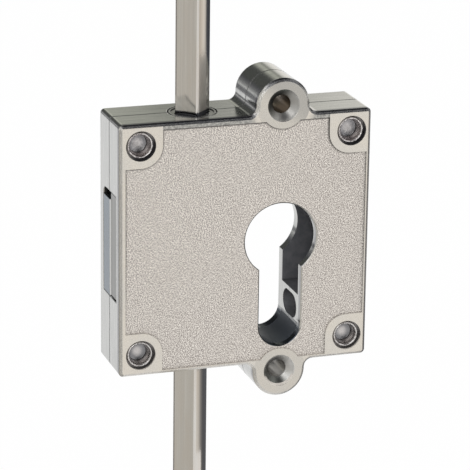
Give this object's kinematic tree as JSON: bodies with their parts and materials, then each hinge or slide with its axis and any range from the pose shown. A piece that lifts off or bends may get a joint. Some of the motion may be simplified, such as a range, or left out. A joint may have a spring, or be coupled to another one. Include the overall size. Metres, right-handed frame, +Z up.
{
  "type": "espagnolette lock",
  "caption": "Surface-mounted espagnolette lock for a profile cylinder: a riveted cast case, a bolt with a rack, and a square rod that the rack turns a quarter turn.",
  "frame": {"origin": "on the axis of the cylinder's round hole, in the mounting face", "axes": "+Z up along the rod, +Y into the mounting face, +X away from the bolt"},
  "size_m": [0.0598, 0.016, 0.15],
  "materials": {
    "plated_zinc": "nickel-plated casting, satin and fine grained in front, bright on its sides",
    "rivet_steel": "nickel-plated rolled rivet",
    "satin_steel": "drawn square bar, satin",
    "nut_zinc": "nickel-plated, satin",
    "bolt_steel": "blued grey, ground",
    "bare_zinc": "as cast",
    "plate_steel": "punched sheet, satin",
    "pin_steel": "turned, bright",
    "spring_steel": "tempered"
  },
  "bodies": {
    "case": {"front_shell": "plated_zinc", "rear_shell": "plated_zinc", "tumbler_pin_left": "pin_steel", "tumbler_pin_right": "pin_steel", "tumbler_spring": "spring_steel", "case_rivet_upper_left": "rivet_steel", "case_rivet_upper_right": "rivet_steel", "case_rivet_lower_left": "rivet_steel", "case_rivet_lower_right": "rivet_steel"},
    "bolt": {"bolt_head": "bolt_steel", "bolt_block": "bare_zinc", "rack_plate": "plate_steel", "drive_dog": "bare_zinc", "stump_pin": "pin_steel", "nose_rivet_upper": "pin_steel", "nose_rivet_lower": "pin_steel", "dog_rivet_left": "pin_steel", "dog_rivet_right": "pin_steel"},
    "turning_rod": {"rod": "satin_steel", "upper_nut": "nut_zinc", "lower_nut": "nut_zinc"},
    "tumbler": {"tumbler": "plate_steel"}
  },
  "joints": [
    {"name": "bolt_slide", "type": "slide", "parent": "case", "child": "bolt", "axis": [-1, 0, 0], "range_m": [0, 0.00817]},
    {"name": "rod_turn", "type": "hinge", "parent": "case", "child": "turning_rod", "pos_m": [-0.0192, -0.008, 0], "axis": [0, 0, 1], "range_deg": [0, 90]},
    {"name": "tumbler_drop", "type": "slide", "parent": "case", "child": "tumbler", "axis": [0, 0, -1], "range_m": [0, 0.0016], "stiffness_N_per_m": 150, "springref_m": 0.004, "deforming": ["tumbler_spring"]}
  ],
  "couplings": [
    {"joint": "rod_turn", "follows": "bolt_slide", "rad_per_m": 192.31}
  ]
}
